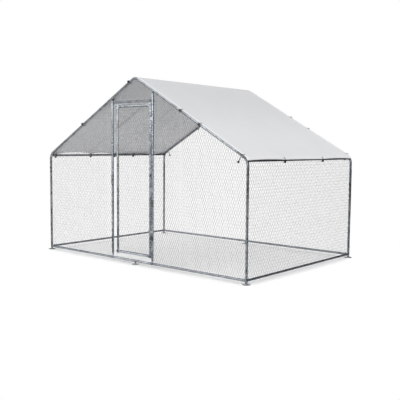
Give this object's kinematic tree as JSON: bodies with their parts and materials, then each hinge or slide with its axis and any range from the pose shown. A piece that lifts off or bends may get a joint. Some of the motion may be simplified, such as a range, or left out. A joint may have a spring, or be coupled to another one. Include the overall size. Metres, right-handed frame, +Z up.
{
  "type": "chicken run",
  "caption": "Walk-in chicken run: galvanised tube frame with a pitched roof, hexagonal wire netting, a hinged gable door and a cover tied to the roof with ball bungees.",
  "frame": {"origin": "on the ground at the middle of the run", "axes": "+X across the gable to the right as seen from the door, +Y from the door end to the back, +Z up"},
  "size_m": [3.082, 2.082, 2.0149],
  "materials": {
    "galvanised_tube": "galvanised, satin",
    "zinc_hardware": "zinc plated, dull",
    "netting_wire": "galvanised",
    "cover_sheet": "coated woven sheet",
    "eyelet_metal": "satin",
    "elastic_cord": "braided, matt",
    "black_plastic": "smooth"
  },
  "bodies": {
    "frame": {"front_left_foot": "galvanised_tube", "front_right_foot": "galvanised_tube", "back_left_foot": "galvanised_tube", "back_right_foot": "galvanised_tube", "front_middle_foot": "galvanised_tube", "back_middle_foot": "galvanised_tube", "front_left_post": "galvanised_tube", "front_right_post": "galvanised_tube", "back_left_post": "galvanised_tube", "back_right_post": "galvanised_tube", "front_left_elbow": "galvanised_tube", "front_right_elbow": "galvanised_tube", "back_left_elbow": "galvanised_tube", "back_right_elbow": "galvanised_tube", "front_left_rafter": "galvanised_tube", "front_right_rafter": "galvanised_tube", "back_left_rafter": "galvanised_tube", "back_right_rafter": "galvanised_tube", "front_ridge_elbow": "galvanised_tube", "back_ridge_elbow": "galvanised_tube", "ridge_pole": "galvanised_tube", "left_eave_rail": "galvanised_tube", "right_eave_rail": "galvanised_tube", "front_base_rail_left": "galvanised_tube", "front_base_rail_right": "galvanised_tube", "back_base_rail_left": "galvanised_tube", "back_base_rail_right": "galvanised_tube", "left_base_rail": "galvanised_tube", "right_base_rail": "galvanised_tube", "left_door_post": "galvanised_tube", "right_door_post": "galvanised_tube", "door_header": "galvanised_tube", "frame_screws": "zinc_hardware", "frame_bolts": "zinc_hardware", "left_netting": "netting_wire", "right_netting": "netting_wire", "back_netting": "netting_wire", "front_left_netting": "netting_wire", "front_right_netting": "netting_wire", "gable_netting": "netting_wire", "roof_left_netting": "netting_wire", "roof_right_netting": "netting_wire", "netting_ties": "netting_wire", "roof_cover": "cover_sheet", "cover_eyelets": "eyelet_metal", "bungee_cords": "elastic_cord", "bungee_balls": "black_plastic"},
    "door": {"door_hinge_stile": "galvanised_tube", "door_latch_stile": "galvanised_tube", "door_top_rail": "galvanised_tube", "door_bottom_rail": "galvanised_tube", "upper_hinge": "galvanised_tube", "lower_hinge": "galvanised_tube", "door_bolts": "zinc_hardware", "door_netting": "netting_wire", "door_ties": "netting_wire"},
    "latch": {"latch_button": "galvanised_tube"}
  },
  "joints": [
    {"name": "door_swing", "type": "hinge", "parent": "frame", "child": "door", "pos_m": [0.26, -1, 0], "axis": [0, 0, 1], "range_deg": [0, 95]},
    {"name": "latch_turn", "type": "hinge", "parent": "frame", "child": "latch", "pos_m": [-0.365, -1.0143, 0.95], "axis": [0, -1, 0], "range_deg": [0, 90]}
  ]
}
